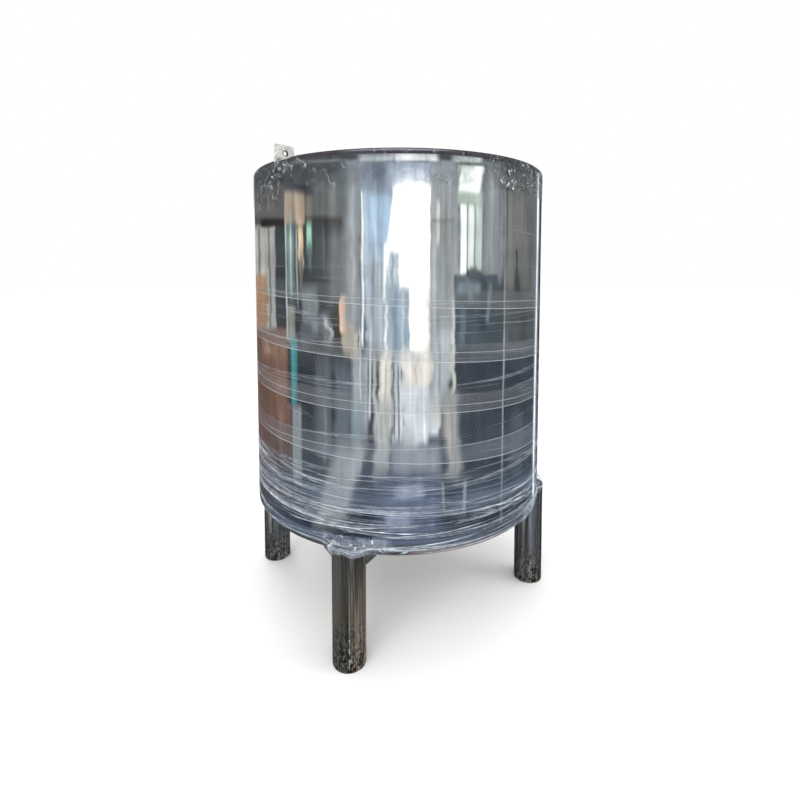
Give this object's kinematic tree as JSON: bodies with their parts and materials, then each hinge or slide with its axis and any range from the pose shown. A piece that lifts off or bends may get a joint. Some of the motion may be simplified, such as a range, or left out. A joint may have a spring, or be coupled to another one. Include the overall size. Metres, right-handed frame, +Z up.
{
  "type": "vertical storage tank",
  "caption": "Upright cylindrical storage tank of mirror-polished stainless steel on pipe legs, with roof and floor ends, lifting lugs, manway and a wound stretch film.",
  "frame": {"origin": "on the floor under the tank's axis", "axes": "+Z up along the tank's axis; -Y towards the side with the leg that stands in front in the picture"},
  "size_m": [1.3528, 1.3102, 1.992],
  "materials": {
    "mirror_steel": "mirror-polished stainless steel",
    "plain_steel": "satin stainless steel",
    "leg_steel": "polished stainless pipe, scuffed",
    "lug_steel": "pale unpolished steel plate",
    "clear_film": "clear stretch film in several layers"
  },
  "bodies": {
    "root": {"shell_wall_01": "mirror_steel", "shell_wall_02": "mirror_steel", "shell_wall_03": "mirror_steel", "shell_wall_04": "mirror_steel", "shell_wall_05": "mirror_steel", "shell_wall_06": "mirror_steel", "shell_wall_07": "mirror_steel", "shell_wall_08": "mirror_steel", "shell_wall_09": "mirror_steel", "shell_wall_10": "mirror_steel", "shell_wall_11": "mirror_steel", "shell_wall_12": "mirror_steel", "roof_head": "mirror_steel", "floor_head": "mirror_steel", "manway_neck": "plain_steel", "manway_cover": "plain_steel", "manway_handle": "plain_steel", "outlet_pipe": "plain_steel", "outlet_cap": "plain_steel", "leg_front": "leg_steel", "leg_right": "leg_steel", "leg_back": "leg_steel", "leg_left": "leg_steel", "foot_front": "leg_steel", "foot_right": "leg_steel", "foot_back": "leg_steel", "foot_left": "leg_steel", "gusset_front_a": "plain_steel", "gusset_front_b": "plain_steel", "gusset_right_a": "plain_steel", "gusset_right_b": "plain_steel", "gusset_back_a": "plain_steel", "gusset_back_b": "plain_steel", "gusset_left_a": "plain_steel", "gusset_left_b": "plain_steel", "lifting_lug_1": "lug_steel", "lifting_lug_2": "lug_steel", "stretch_film": "clear_film"}
  },
  "joints": []
}
